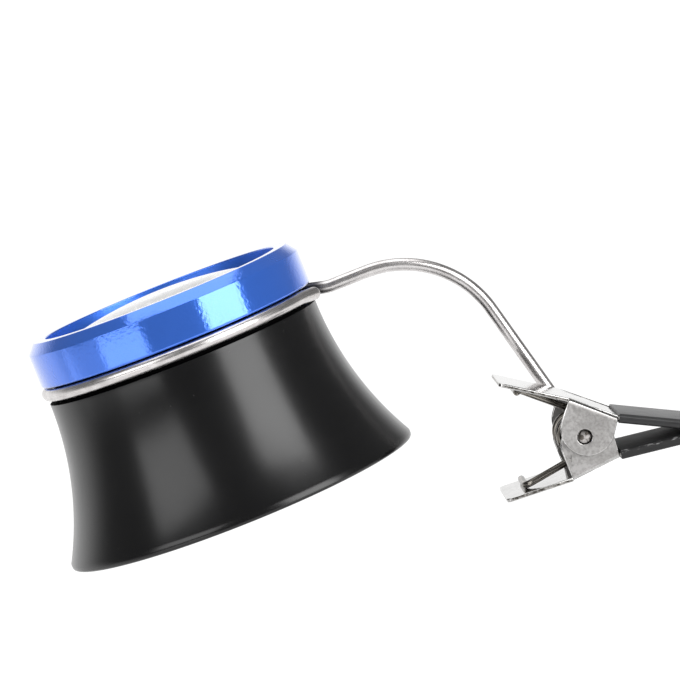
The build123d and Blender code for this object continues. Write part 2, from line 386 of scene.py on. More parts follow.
@dataclass(frozen=True)
class MouldedBlack(Finish):
    """Black ABS from a polished mould: near black, a soft gloss, faint sink waves."""

    name: str = "moulded_black_abs"
    base: str = "#070708"
    roughness: float = 0.23
    haze: float = 0.03
    haze_size: float = 7.0
    wave_size: float = 2.5
    wave_depth: float = 0.006
    dust: str = "#2b2b2b"
    dust_spacing: float = 1.6
    dust_edge: tuple[float, float] = (0.03, 0.06)
    seat_roughness: float = 0.8
    seat_specular: float = 0.05

    def detail(self, tree: Tree) -> Inputs:
        """Haze in the gloss, shallow waves, dust specks, and a matt finish on its seats.

        Args:
            tree: The material's node tree.

        Returns:
            The shader's inputs that have a pattern.
        """
        place = add_node(tree, "TexCoord", {}).outputs["Object"]
        clouds = {"Vector": place, "Scale": per_mm(self.haze_size), "Detail": 3.0}
        haze = add_node(tree, "TexNoise", clouds)
        levels = {"Value": haze, "From Min": NOISE_LOW, "From Max": NOISE_HIGH}
        levels |= {"To Min": self.roughness - self.haze, "To Max": self.roughness + self.haze}
        gloss = add_node(tree, "MapRange", levels)
        matt = add_node(tree, "Attribute", {}, attribute_name="seat").outputs["Fac"]
        rough = add_node(tree, "Mix", {"Factor": matt, 2: gloss, 3: self.seat_roughness})
        levels = {"Value": matt, "To Min": self.specular, "To Max": self.seat_specular}
        shine = add_node(tree, "MapRange", levels)
        waves = add_node(tree, "TexNoise", {"Vector": place, "Scale": per_mm(self.wave_size)})
        peel = add_node(tree, "Bump", {"Height": waves, "Distance": self.wave_depth * MM})
        spots = {"Vector": place, "Scale": per_mm(self.dust_spacing)}
        cells = add_node(tree, "TexVoronoi", spots)
        near, far = self.dust_edge
        levels = {"Value": cells, "From Min": near, "From Max": far, "To Min": 1.0, "To Max": 0.0}
        speck = add_node(tree, "MapRange", levels)
        mix = {"Factor": speck, 6: linear(self.base), 7: linear(self.dust)}
        colour = add_node(tree, "Mix", mix, data_type="RGBA").outputs[2]
        looks = {"Roughness": rough, "Specular IOR Level": shine}
        return looks | {"Normal": peel, "Base Color": colour}


@dataclass(frozen=True)
class BlueAnodised(Finish):
    """Turned aluminium under a blue-dyed oxide: part mirror, part dye, glossy, fine orange peel."""

    name: str = "blue_anodised_aluminium"
    base: str = "#407cf0"
    metallic: float = 0.6
    roughness: float = 0.12
    coat: float = 1.0
    bore_roughness: float = 0.4
    bore_coat: float = 0.15
    peel_size: float = 0.4
    peel_depth: float = 0.017
    line_length: float = 12.0
    lines_per_length: float = 40.0
    line_depth: float = 0.0015

    def detail(self, tree: Tree) -> Inputs:
        """Orange peel of about half a millimetre, turning lines, and a duller bore.

        Args:
            tree: The material's node tree.

        Returns:
            The shader's inputs that have a pattern.
        """
        place = add_node(tree, "TexCoord", {}).outputs["Object"]
        grain = {"Vector": place, "Scale": per_mm(self.peel_size), "Detail": 3.0}
        peel = add_node(tree, "TexNoise", grain)
        skin = add_node(tree, "Bump", {"Height": peel, "Distance": self.peel_depth * MM})
        stretch = (1.0, 1.0, self.lines_per_length)
        lines = add_node(tree, "Mapping", {"Vector": place, "Scale": stretch})
        grain = {"Vector": lines, "Scale": per_mm(self.line_length), "Detail": 2.0}
        cut = add_node(tree, "TexNoise", grain)
        turning = {"Height": cut, "Distance": self.line_depth * MM, "Normal": skin}
        turned = add_node(tree, "Bump", turning)
        bore = add_node(tree, "Attribute", {}, attribute_name="bore").outputs["Fac"]
        levels = {"Value": bore, "To Min": self.roughness, "To Max": self.bore_roughness}
        gloss = add_node(tree, "MapRange", levels)
        levels = {"Value": bore, "To Min": self.coat, "To Max": self.bore_coat}
        coat = add_node(tree, "MapRange", levels)
        looks = {"Coat Normal": skin, "Normal": turned}
        return looks | {"Roughness": gloss, "Coat Weight": coat}


@dataclass(frozen=True)
class CrownGlass(Finish):
    """Polished crown glass under a hard coat of high index: clear, with sharp reflections."""

    name: str = "crown_glass"
    base: str = "#ffffff"
    roughness: float = 0.0
    ior: float = 1.52
    coat: float = 1.0
    coat_roughness: float = 0.0
    coat_ior: float = 2.0
    transmission: float = 1.0


@dataclass(frozen=True)
class DrawnSteel(Finish):
    """Stainless wire as drawn through a die: satin grey, fine lines along it, a torn cut end.

    Where it leaves the ring it is painted dark: painted shade under the bezel and the bezel's
    painted reflection.
    """

    name: str = "drawn_stainless_wire"
    base: str = "#d3cecc"
    metallic: float = 1.0
    roughness: float = 0.26
    gloss: tuple[float, float] = (0.22, 0.34)
    die_lines: tuple[float, float, float] = (7.0, 0.25, 1.0)
    clean: str = "#dfdcdb"
    stained: str = "#c2bebd"
    stain_size: float = 1.5
    stain_edge: tuple[float, float] = (0.35, 0.75)
    torn: str = "#57524e"
    least_torn: float = 0.5
    tear_size: float = 0.4
    tear_edge: tuple[float, float] = (0.42, 0.56)
    tear_depth: float = 0.1
    cut_roughness: float = 0.3
    painted_bezel_shade: str = "#34353c"

    def detail(self, tree: Tree) -> Inputs:
        """Die lines on the wire's own map, light stains, tears where the wire was cut off, and
        painted shade at the neck.

        Args:
            tree: The material's node tree.

        Returns:
            The shader's inputs that have a pattern.
        """
        along = add_node(tree, "UVMap", {}, uv_map="UVMap")
        stretch = add_node(tree, "Mapping", {"Vector": along, "Scale": self.die_lines})
        lines = add_node(tree, "TexNoise", {"Vector": stretch, "Scale": 1.0, "Detail": 2.0})
        levels = {"Value": lines, "From Min": NOISE_LOW, "From Max": NOISE_HIGH}
        levels |= {"To Min": self.gloss[0], "To Max": self.gloss[1]}
        gloss = add_node(tree, "MapRange", levels)
        cut = add_node(tree, "Attribute", {}, attribute_name="cut").outputs["Fac"]
        rise = {0: cut, 1: self.cut_roughness, 2: gloss}
        satin = add_node(tree, "Math", rise, operation="MULTIPLY_ADD")
        place = add_node(tree, "TexCoord", {}).outputs["Object"]
        clouds = {"Vector": place, "Scale": per_mm(self.stain_size), "Detail": 5.0}
        cloud = add_node(tree, "TexNoise", clouds)
        low, high = self.stain_edge
        patch = add_node(tree, "MapRange", {"Value": cloud, "From Min": low, "From Max": high})
        mix = {"Factor": patch, 6: linear(self.clean), 7: linear(self.stained)}
        drawn = add_node(tree, "Mix", mix, data_type="RGBA").outputs[2]
        grain = {"Vector": place, "Scale": per_mm(self.tear_size), "Detail": 4.0}
        tears = add_node(tree, "TexNoise", grain)
        low, high = self.tear_edge
        levels = {"Value": tears, "From Min": low, "From Max": high, "To Min": self.least_torn}
        deep = add_node(tree, "MapRange", levels)
        dark = add_node(tree, "Math", {0: deep, 1: cut}, operation="MULTIPLY")
        mix = {"Factor": dark, 6: drawn, 7: linear(self.torn)}
        marked = add_node(tree, "Mix", mix, data_type="RGBA").outputs[2]
        # painted shade: where the wire leaves the ring it is darkened to a dark blue-grey, as the
        # bezel's shadow and reflection
        neck = add_node(tree, "Attribute", {}, attribute_name="neck").outputs["Fac"]
        mix = {"Factor": neck, 6: marked, 7: linear(self.painted_bezel_shade)}
        colour = add_node(tree, "Mix", mix, data_type="RGBA").outputs[2]
        torn = {"Height": tears, "Distance": self.tear_depth * MM, "Strength": cut}
        rough = add_node(tree, "Bump", torn)
        return {"Roughness": satin, "Base Color": colour, "Normal": rough}


@dataclass(frozen=True)
class NickelSheet(Finish):
    """Nickel-plated steel sheet, bright as rolled: speckled and lightly scuffed."""

    name: str = "nickel_plated_sheet"
    base: str = "#bbbab8"
    metallic: float = 1.0
    roughness: float = 0.16
    dark: str = "#a9a8a6"
    light: str = "#cac9c8"
    gloss: tuple[float, float] = (0.05, 0.14)
    gloss_edge: tuple[float, float] = (0.15, 0.36)
    tone_edge: tuple[float, float] = (0.14, 0.34)
    pit_size: float = 0.25
    pit_depth: float = 0.004
    cloud_size: float = 3.5
    run: float = 18.1
    scuff_size: float = 0.25
    scuff_squeeze: float = 0.12
    scuff_depth: float = 0.002

    def detail(self, tree: Tree) -> Inputs:
        """Fine pits, cloudy plating, and scuffs that run along the sheet.

        Args:
            tree: The material's node tree.

        Returns:
            The shader's inputs that have a pattern.
        """
        place = add_node(tree, "TexCoord", {}).outputs["Object"]
        grain = {"Vector": place, "Scale": per_mm(self.pit_size), "Detail": 3.0}
        pits = add_node(tree, "TexNoise", grain)
        clouds = {"Vector": place, "Scale": per_mm(self.cloud_size), "Detail": 2.0}
        cloud = add_node(tree, "TexNoise", clouds)
        both = add_node(tree, "Math", {0: pits, 1: cloud}, operation="MULTIPLY")
        low, high = self.gloss_edge
        levels = {"Value": both, "From Min": low, "From Max": high}
        levels |= {"To Min": self.gloss[0], "To Max": self.gloss[1]}
        gloss = add_node(tree, "MapRange", levels)
        low, high = self.tone_edge
        tone = add_node(tree, "MapRange", {"Value": both, "From Min": low, "From Max": high})
        mix = {"Factor": tone, 6: linear(self.dark), 7: linear(self.light)}
        colour = add_node(tree, "Mix", mix, data_type="RGBA").outputs[2]
        turn = (0, math.radians(self.run), 0)
        run = {"Vector": place, "Rotation": turn, "Scale": (self.scuff_squeeze, 1.0, 1.0)}
        scuff = add_node(tree, "Mapping", run)
        grain = {"Vector": scuff, "Scale": per_mm(self.scuff_size), "Detail": 3.0}
        marks = add_node(tree, "TexNoise", grain)
        fine = add_node(tree, "Bump", {"Height": marks, "Distance": self.scuff_depth * MM})
        dents = {"Height": pits, "Distance": self.pit_depth * MM, "Normal": fine}
        pitted = add_node(tree, "Bump", dents)
        return {"Roughness": gloss, "Base Color": colour, "Normal": pitted}


@dataclass(frozen=True)
class RubbedNickel(NickelSheet):
    """The same plate on the ears, rubbed satin where they turn on each other."""

    name: str = "rubbed_nickel_sheet"
    base: str = "#adabaa"
    roughness: float = 0.52
    dark: str = "#9a9896"
    light: str = "#b9b7b6"
    gloss: tuple[float, float] = (0.46, 0.58)


@dataclass(frozen=True)
class ShearedEdge(Finish):
    """Edge of the sheet as the press sheared it: darker, rough, with flecks of plating."""

    name: str = "sheared_sheet_edge"
    base: str = "#8d8984"
    metallic: float = 1.0
    roughness: float = 0.3
    tear: str = "#5a5650"
    tear_size: float = 0.5
    tear_depth: float = 0.03
    plating: str = "#c9c6c2"
    plating_edge: tuple[float, float] = (0.42, 0.58)

    def detail(self, tree: Tree) -> Inputs:
        """Bright flecks among dark tears, about a quarter of a millimetre wide.

        Args:
            tree: The material's node tree.

        Returns:
            The shader's inputs that have a pattern.
        """
        place = add_node(tree, "TexCoord", {}).outputs["Object"]
        grain = {"Vector": place, "Scale": per_mm(self.tear_size), "Detail": 5.0}
        tears = add_node(tree, "TexNoise", grain)
        low, high = self.plating_edge
        fleck = add_node(tree, "MapRange", {"Value": tears, "From Min": low, "From Max": high})
        mix = {"Factor": fleck, 6: linear(self.tear), 7: linear(self.plating)}
        colour = add_node(tree, "Mix", mix, data_type="RGBA").outputs[2]
        torn = add_node(tree, "Bump", {"Height": tears, "Distance": self.tear_depth * MM})
        return {"Base Color": colour, "Normal": torn}


@dataclass(frozen=True)
class TemperedWire(Finish):
    """Oil-tempered spring wire: dark grey, with bright lines where the coiler rubbed it."""

    name: str = "tempered_spring_wire"
    base: str = "#6b6761"
    metallic: float = 1.0
    roughness: float = 0.24
    oxide: str = "#4b4843"
    bare: str = "#a39e97"
    bare_edge: tuple[float, float] = (0.4, 0.62)
    rubbed_lines: tuple[float, float, float] = (3.0, 0.3, 1.0)

    def detail(self, tree: Tree) -> Inputs:
        """Rubbed lines on the wire's own map, longer than they are wide.

        Args:
            tree: The material's node tree.

        Returns:
            The shader's inputs that have a pattern.
        """
        along = add_node(tree, "UVMap", {}, uv_map="UVMap")
        stretch = add_node(tree, "Mapping", {"Vector": along, "Scale": self.rubbed_lines})
        rubbed = add_node(tree, "TexNoise", {"Vector": stretch, "Scale": 1.0, "Detail": 4.0})
        low, high = self.bare_edge
        bright = add_node(tree, "MapRange", {"Value": rubbed, "From Min": low, "From Max": high})
        mix = {"Factor": bright, 6: linear(self.oxide), 7: linear(self.bare)}
        return {"Base Color": add_node(tree, "Mix", mix, data_type="RGBA").outputs[2]}


@dataclass(frozen=True)
class SoftSleeve(Finish):
    """Soft black PVC tube: dark grey with a dull sheen, and a painted highlight in pale dashes
    where it is marked.
    """

    name: str = "soft_black_pvc"
    base: str = "#242425"
    roughness: float = 0.36
    haze: float = 0.06
    streaks: tuple[float, float, float] = (4.0, 0.5, 1.0)
    streak_depth: float = 0.015
    painted_glint: str = "#8c8c8c"
    glint_dashes: tuple[float, float, float] = (6.0, 1.1, 1.0)
    glint_edge: tuple[float, float] = (0.56, 0.66)

    def detail(self, tree: Tree) -> Inputs:
        """Fine streaks along the tube, and a painted highlight in pale broken dashes on the marked
        corners.

        Args:
            tree: The material's node tree.

        Returns:
            The shader's inputs that have a pattern.
        """
        along = add_node(tree, "UVMap", {}, uv_map="UVMap")
        stretch = add_node(tree, "Mapping", {"Vector": along, "Scale": self.streaks})
        streaks = add_node(tree, "TexNoise", {"Vector": stretch, "Scale": 1.0, "Detail": 4.0})
        levels = {"Value": streaks, "From Min": NOISE_LOW, "From Max": NOISE_HIGH}
        levels |= {"To Min": self.roughness - self.haze, "To Max": self.roughness + self.haze}
        gloss = add_node(tree, "MapRange", levels)
        skin = add_node(tree, "Bump", {"Height": streaks, "Distance": self.streak_depth * MM})
        # painted highlight: pale dashes on the marked corners stand in for the glint along a
        # sleeve's top edges
        corner = add_node(tree, "Attribute", {}, attribute_name="corner").outputs["Fac"]
        dashes = add_node(tree, "Mapping", {"Vector": along, "Scale": self.glint_dashes})
        grain = add_node(tree, "TexNoise", {"Vector": dashes, "Scale": 1.0, "Detail": 3.0})
        low, high = self.glint_edge
        broken = add_node(tree, "MapRange", {"Value": grain, "From Min": low, "From Max": high})
        scuff = add_node(tree, "Math", {0: broken, 1: corner}, operation="MULTIPLY")
        mix = {"Factor": scuff, 6: linear(self.base), 7: linear(self.painted_glint)}
        colour = add_node(tree, "Mix", mix, data_type="RGBA").outputs[2]
        return {"Roughness": gloss, "Normal": skin, "Base Color": colour}


@dataclass(frozen=True)
class FloorPaint(Finish):
    """Matt white paint; away from the object the camera sees it at the surround's white."""

    name: str = "white_floor"
    base: str = "#eeeeee"
    roughness: float = 1.0
    specular: float = 0.0
    shadow_reach: tuple[float, float] = (0.08, 0.18)
    shadow_lift: float = 0.25
    mirrored_lift: float = 0.3

    def detail(self, tree: Tree) -> Inputs:
        """Lifts the floor for what looks at it, more away from the object, whose shadow stays.

        Args:
            tree: The material's node tree.

        Returns:
            The shader's inputs that have a pattern.
        """
        path = add_node(tree, "LightPath", {}).outputs
        seen = {0: path["Is Camera Ray"], 1: path["Is Transmission Ray"]}
        looking = add_node(tree, "Math", seen, operation="MAXIMUM")
        place = add_node(tree, "TexCoord", {}).outputs["Object"]
        away = add_node(tree, "VectorMath", {0: place}, operation="LENGTH").outputs["Value"]
        near, far = self.shadow_reach
        levels = {"Value": away, "From Min": near, "From Max": far}
        levels |= {"To Min": self.shadow_lift, "To Max": 1.0}
        beyond = add_node(tree, "MapRange", levels, interpolation_type="SMOOTHSTEP")
        direct = add_node(tree, "Math", {0: looking, 1: beyond}, operation="MULTIPLY")
        faint = {0: path["Is Glossy Ray"], 1: self.mirrored_lift}
        mirrored = add_node(tree, "Math", faint, operation="MULTIPLY")
        lift = add_node(tree, "Math", {0: direct, 1: mirrored}, operation="MAXIMUM")
        return {"Emission Color": linear("#ffffff"), "Emission Strength": lift}


# Loupe head


@dataclass
class LoupeHead:
    """The flared eye cup with its bezel and two lenses, all turned about the optical axis."""

    rim_radius: float = 19.5
    neck_radius: float = 15.2
    cup_height: float = 17.35
    cup_wall: float = 1.6
    lip_height: float = 0.6
    lip_rounding: float = 0.3
    spigot_radius: float = 13.9
    spigot_top: float = 21.55
    rear_lens_bore: float = 12.55
    ledge_top: float = 15.35
    ledge_bottom: float = 14.55
    aperture: float = 11.7
    bezel_radius: float = 15.4
    bezel_bore: float = 13.95
    bezel_opening: float = 13.1
    bezel_bottom: float = 19.3
    bezel_top: float = 24.12
    bezel_chamfer_height: float = 1.1
    bezel_land: float = 1.4
    bezel_roundings: tuple[float, ...] = (0.06, 0.25, 0.15, 0.15, 0.12, 0.06, 0.06)
    lip_underside: float = 22.62
    front_lens_radius: float = 13.8
    front_lens_top: float = 22.57
    front_lens_seat: float = 21.6
    front_dome_radius: float = 13.05
    front_apex: float = 24.32
    front_back_radius: float = 11.85
    rear_lens_radius: float = 12.5
    rear_dome_radius: float = 11.5
    rear_shoulder: float = 16.55
    lens_curve: float = 50.0
    edge_rounding: float = 0.1
    mark_margin: float = 0.01
    bright_land: float = 0.1

    def build(self) -> None:
        """Builds the cup, the bezel and the lenses, and dresses the spacer."""
        black, glass, blue = (kind().make() for kind in (MouldedBlack, CrownGlass, BlueAnodised))
        rows = revolved(self.cup_profile())
        marks = {"seat": rows[..., 2] > self.cup_height - self.mark_margin}
        cup = lay_surface("eye_cup_turned", rows, black, None, marks)
        seat(cup, "eye_cup", Body.HEAD)
        rows = revolved(self.bezel_profile(), around=288)
        inside = np.hypot(rows[..., 0], rows[..., 1]) < self.bezel_bore + self.mark_margin
        marks = {"bore": inside & (rows[..., 2] < self.bezel_top - self.bright_land)}
        bezel = lay_surface("bezel_turned", rows, blue, None, marks)
        seat(bezel, "bezel_ring", Body.HEAD)
        lenses = {"front_lens": self.front_lens_profile(), "rear_lens": self.rear_lens_profile()}
        for node, profile in lenses.items():
            lens = lay_surface(f"{node}_ground", revolved(profile, around=192), glass)
            seat(lens, node, Body.HEAD)
        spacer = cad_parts["lens_spacer"].data
        spacer.materials.clear()
        spacer.materials.append(black)

    def flare(self, low: float, high: float, inset: float = 0.0, count: int = 48) -> np.ndarray:
        """Points up the flare: r = neck + R - sqrt((R + inset)^2 - (top - z)^2).

        R is the radius of the hollow arc that joins the lip to the neck.

        Args:
            low: First height.
            high: Last height.
            inset: How far inside the outer face.
            count: Number of points.

        Returns:
            Points as radius and height.
        """
        spread = self.rim_radius - self.neck_radius
        rise = self.cup_height - self.lip_height
        curve = (rise**2 + spread**2) / (2 * spread)
        height = np.linspace(low, high, count)
        depth = np.sqrt((curve + inset) ** 2 - (self.cup_height - height) ** 2)
        return np.stack([self.neck_radius + curve - depth, height], axis=-1)

    def cup_profile(self) -> np.ndarray:
        """Outline of the cup's wall: outside up the flare, over the spigot, and down inside.

        Returns:
            The closed profile.
        """
        small = self.edge_rounding
        outer = self.flare(self.lip_height, self.cup_height)
        inner = self.flare(0, self.ledge_bottom, self.cup_wall)[::-1]
        corners = [
            outer[-2],
            (self.neck_radius, self.cup_height),
            (self.spigot_radius, self.cup_height),
            (self.spigot_radius, self.spigot_top),
            (self.rear_lens_bore, self.spigot_top),
            (self.rear_lens_bore, self.ledge_top),
            (self.aperture, self.ledge_top),
            (self.aperture, self.ledge_bottom),
            inner[0],
        ]
        top = rounded(corners, [small / 4, 0, small, small, 0, small, small])
        corners = [inner[-2], inner[-1], (self.rim_radius, 0), (self.rim_radius, self.lip_height)]
        foot = rounded(corners, [self.lip_rounding] * 2)
        return np.concatenate([outer[:-2], top, inner[1:-2], foot])

    def bezel_profile(self) -> np.ndarray:
        """Outline of the bezel: bore, outer wall, chamfer, land and the lip over the lens.

        Returns:
            The closed profile.
        """
        corners = [
            (self.bezel_bore, self.bezel_bottom),
            (self.bezel_radius, self.bezel_bottom),
            (self.bezel_radius, self.bezel_top - self.bezel_chamfer_height),
            (self.bezel_opening + self.bezel_land, self.bezel_top),
            (self.bezel_opening, self.bezel_top),
            (self.bezel_opening, self.lip_underside),
            (self.bezel_bore, self.lip_underside),
        ]
        return closed_rounded(corners, self.bezel_roundings)

    def arc(self, radius: float, edge: float, rise: float, count: int = 40) -> np.ndarray:
        """A lens face from the axis out: z = edge + rise + sign (sqrt(R^2 - r^2) - R).

        Args:
            radius: Radius of the dome's edge.
            edge: Height of its edge.
            rise: How far the apex stands over the edge, below nought when it hangs.
            count: Number of points.

        Returns:
            Points from the axis to the edge.
        """
        curve = (rise**2 + radius**2) / (2 * abs(rise))
        reach = np.linspace(0, radius, count)
        drop = np.sign(rise) * (np.sqrt(curve**2 - reach**2) - curve)
        return np.stack([reach, edge + rise + drop], axis=-1)

    def front_lens_profile(self) -> np.ndarray:
        """Outline of the front lens: domed on top, an edge with two bevels, domed below.

        Returns:
            The profile, from the axis on top to the axis below.
        """
        rise = self.front_apex - self.front_lens_top
        sag = self.lens_curve - math.sqrt(self.lens_curve**2 - self.front_back_radius**2)
        corners = [
            (self.front_dome_radius, self.front_lens_top),
            (self.front_lens_radius, self.front_lens_top),
            (self.front_lens_radius, self.front_lens_seat),
            (self.front_back_radius, self.front_lens_seat),
        ]
        edge = rounded(corners, [self.edge_rounding] * 2, steps=4)
        top = self.arc(self.front_dome_radius, self.front_lens_top, rise)
        under = self.arc(self.front_back_radius, self.front_lens_seat, -sag)[::-1]
        return np.concatenate([top[:-1], edge[:-1], under])

    def rear_lens_profile(self) -> np.ndarray:
        """Outline of the rear lens: domed on top and flat below.

        Returns:
            The profile, from the axis on top to the axis below.
        """
        sag = self.lens_curve - math.sqrt(self.lens_curve**2 - self.rear_dome_radius**2)
        corners = [
            (self.rear_dome_radius, self.rear_shoulder),
            (self.rear_lens_radius, self.rear_shoulder),
            (self.rear_lens_radius, self.ledge_top),
            (0, self.ledge_top),
        ]
        edge = rounded(corners, [self.edge_rounding] * 2, steps=4)
        top = self.arc(self.rear_dome_radius, self.rear_shoulder, sag)
        return np.concatenate([top[:-1], edge])


# Wire arm


@dataclass
class RoundWire:
    """A wire of round section along a path, with rounded cut ends."""

    radius: float
    rounding: tuple[float, float]
    reference: tuple[float, float, float]
    spacing: float = 0.25
    around: int = 32
    end_steps: int = 7

    def tube(self, path: np.ndarray) -> tuple[np.ndarray, np.ndarray]:
        """Carries a circle along the path: p + r (side cos t + up sin t), r shrinking at the ends.

        At an end rounded by c, a ring stands c (1 - cos a) from the tip and its radius is
        r - c (1 - sin a), for a from nought to a quarter turn. Rings of radius nought close it.

        Args:
            path: The centre line's points.

        Returns:
            The grid of points, and its map in millimetres round and along the wire.
        """
        even = evened(path, self.spacing)
        along = arc_length(even)
        length = along[-1]
        start, finish = self.rounding
        turn = np.linspace(0, math.pi / 2, self.end_steps)
        rise, fall = 1 - np.cos(turn), 1 - np.sin(turn)
        plain = along[(along > start) & (along < length - finish)]
        stations = np.concatenate([[0], start * rise, plain, length - finish * fall, [length]])
        short = [[self.radius], start * fall, 0 * plain, finish * rise, [self.radius]]
        radii = self.radius - np.concatenate(short)
        lines = (even, *frames_along(even, self.reference))
        centre, side, up = (sampled(line, along, stations) for line in lines)
        angle = np.linspace(0, 2 * math.pi, self.around + 1)
        ring = side[:, None] * np.cos(angle)[:, None] + up[:, None] * np.sin(angle)[:, None]
        rows = centre[:, None] + ring * radii[:, None, None]
        uv = np.stack(np.broadcast_arrays(angle * self.radius, stations[:, None]), axis=-1)
        return rows, uv


@dataclass(frozen=True)
class ClipPlace:
    """Where the clip's axle is, and how far its jaws point below +X, in degrees."""

    axle_x: float = 36.46
    axle_z: float = -6.42
    tilt: float = 18.1

    def moved(self, points: np.ndarray) -> np.ndarray:
        """Moves points from the clip's own frame to the loupe's: a turn about Y and a shift.

        Args:
            points: Points in the clip's frame, in an array whose last axis is x, y, z.

        Returns:
            The points in the loupe's frame.
        """
        tilt = math.radians(self.tilt)
        x, y, z = np.moveaxis(points, -1, 0)
        across = self.axle_x + x * math.cos(tilt) + z * math.sin(tilt)
        up = self.axle_z - x * math.sin(tilt) + z * math.cos(tilt)
        return np.stack([across, y, up], axis=-1)


@dataclass
class WireArm:
    """One wire: hinge axle, arched arm, open ring round the loupe and its free end."""

    place: ClipPlace = ClipPlace()
    wire_radius: float = 0.7
    ring_radius: float = 14.95
    ring_height: float = 18.45
    ring_end_angle: float = 328.0
    ring_exit_bend: float = 2.8
    ring_exit_run: float = 0.2
    ring_steps: int = 300
    arm_side: float = 6.43
    arm_drop: float = 0.85
    arm_drop_reach: float = 3.4
    arm_drop_bend: float = 4.0
    arm_steepness: float = 76.0
    arch_run: float = 3.9
    axle_bend: float = 1.05
    axle_tip_y: float = -5.5
    axle_end_rounding: float = 0.2
    free_end_bend: float = 8.0
    free_end_run: float = 2.2
    free_end_length: float = 3.35
    free_end_drop: float = 0.26
    free_end_rounding: float = 0.55
    # Where the neck's painted shade is centred, beyond and below where the wire leaves the ring,
    # and how far it reaches
    shade_reach: float = 1.6
    shade_drop: float = 0.4
    shade_length: float = 1.4
    crop_depth: float = 1.1
    crop_slope: float = 0.35
    tear_slope: float = 0.9
    tear_way: tuple[float, float] = (-0.4, 0.92)
    tear_start: float = 0.2
    near_axle: float = 1.01

    def build(self) -> None:
        """Builds the wire, with painted shade at its neck and its torn end."""
        ends = (self.axle_end_rounding, self.free_end_rounding)
        shape = RoundWire(self.wire_radius, ends, (0, 0, 1))
        rows, uv = shape.tube(self.path())
        cut = np.zeros(rows.shape[:2])
        cut[: shape.end_steps] = 1
        rows = self.cropped_end(rows)
        # The neck is marked for painted shade, standing in for the bezel's shadow and reflection
        marks = {"cut": cut, "neck": self.bezel_shade(rows)}
        piece = lay_surface("wire_arm_drawn", rows, DrawnSteel().make(), uv, marks)
        seat(piece, "wire_arm", Body.ARM)

    def bezel_shade(self, rows: np.ndarray) -> np.ndarray:
        """How much painted shade each point gets: exp(-(d / length)^4), d its ring's distance from
        the neck.

        Args:
            rows: The wire's grid.

        Returns:
            One value per point.
        """
        leave = math.sqrt(self.ring_radius**2 - self.arm_side**2)
        neck = (leave + self.shade_reach, self.arm_side, self.ring_height - self.shade_drop)
        away = np.linalg.norm(rows.mean(axis=1) - neck, axis=-1) / self.shade_length
        return np.broadcast_to(np.exp(-(away**4))[:, None], rows.shape[:2])

    def on_ring(self, angle: float) -> np.ndarray:
        """Point of the ring's centre line at an angle in radians."""
        flat = (self.ring_radius * math.cos(angle), self.ring_radius * math.sin(angle))
        return np.array([*flat, self.ring_height])

    def path(self) -> np.ndarray:
        """Centre line: axle, steep leg, arch, drop to the ring, ring, free end.

        The ring is left where a bend of the exit's radius, a short run off the ring, turns into
        the arm's plane: (R + b) sin a - run cos a = side + b.

        Returns:
            The line's points.
        """
        span = self.ring_radius + self.ring_exit_bend
        reach = (self.arm_side + self.ring_exit_bend) / math.hypot(span, self.ring_exit_run)
        leave_angle = math.asin(reach) + math.atan(self.ring_exit_run / span)
        leave = self.on_ring(leave_angle)
        heading = np.array([-math.sin(leave_angle), math.cos(leave_angle), 0])
        turn_out = leave + heading * (self.arm_side - leave[1]) / heading[1]
        run_height = self.ring_height - self.arm_drop
        level = (turn_out[0] + self.arm_drop_reach, self.arm_side, run_height)
        steepness = math.radians(self.arm_steepness)
        peak_x = self.place.axle_x - (run_height - self.place.axle_z) / math.tan(steepness)
        drop_leg = self.arm_drop_bend * math.tan(math.atan2(self.arm_drop, self.arm_drop_reach) / 2)
        arch_bend = (peak_x - level[0] - drop_leg - self.arch_run) / math.tan(steepness / 2)
        corner = (self.place.axle_x, self.arm_side, self.place.axle_z)
        tip = (self.place.axle_x, self.axle_tip_y, self.place.axle_z)
        peak = (peak_x, self.arm_side, run_height)
        bends = [self.axle_bend, arch_bend, self.arm_drop_bend, self.ring_exit_bend]
        arm = rounded([tip, corner, peak, level, turn_out, leave], bends, steps=40)
        end_angle = math.radians(self.ring_end_angle)
        angles = np.linspace(leave_angle, end_angle, self.ring_steps)
        flat = (self.ring_radius * np.cos(angles), self.ring_radius * np.sin(angles))
        ring = np.stack([*flat, np.full(len(angles), self.ring_height)], axis=-1)
        way = np.array([-math.sin(end_angle), math.cos(end_angle), 0])
        turn_down = ring[-1] + way * self.free_end_run
        end = turn_down + way * self.free_end_length - np.array([0, 0, self.free_end_drop])
        tail = rounded([ring[-1], turn_down, end], [self.free_end_bend], steps=12)
        return np.concatenate([arm[:-1], ring, tail[1:]])

    def cropped_end(self, rows: np.ndarray) -> np.ndarray:
        """Slopes the axle's end as a cropping tool leaves it, with a torn corner.

        A point near the end moves inwards, along +Y, by a share of its distance from the side
        that faces the loupe and a share of its distance beyond the tear's line, faded out over
        the end's depth. The ring lies beyond that end too, so only points about as near the axle
        as the wire's radius move.

        Args:
            rows: The wire's grid.

        Returns:
            The grid with its first rings moved.
        """
        aside = rows[..., 0] - self.place.axle_x
        above = rows[..., 2] - self.place.axle_z
        fade = np.clip(1 - (rows[..., 1] - self.axle_tip_y) / self.crop_depth, 0, 1)
        at_axle = np.hypot(aside, above) < self.near_axle * self.wire_radius
        beyond = self.tear_way[0] * aside + self.tear_way[1] * above - self.tear_start
        inwards = self.crop_slope * (aside + self.wire_radius)
        inwards = inwards + self.tear_slope * np.maximum(beyond, 0)
        moved = rows.copy()
        moved[..., 1] += np.where(at_axle, inwards * fade, 0)
        return moved


# Clip


@dataclass(frozen=True)
class HalfSizes:
    """The sizes in which the two clip halves differ, in the clip's own frame."""

    node: str
    sleeve_node: str
    body: Body
    side: int
    lever_reach: float
    lever_height: float
    fold_height: float
    neck_height: float
    jaw_slope: float
    closing_height: float
    sleeve: SoftSleeve


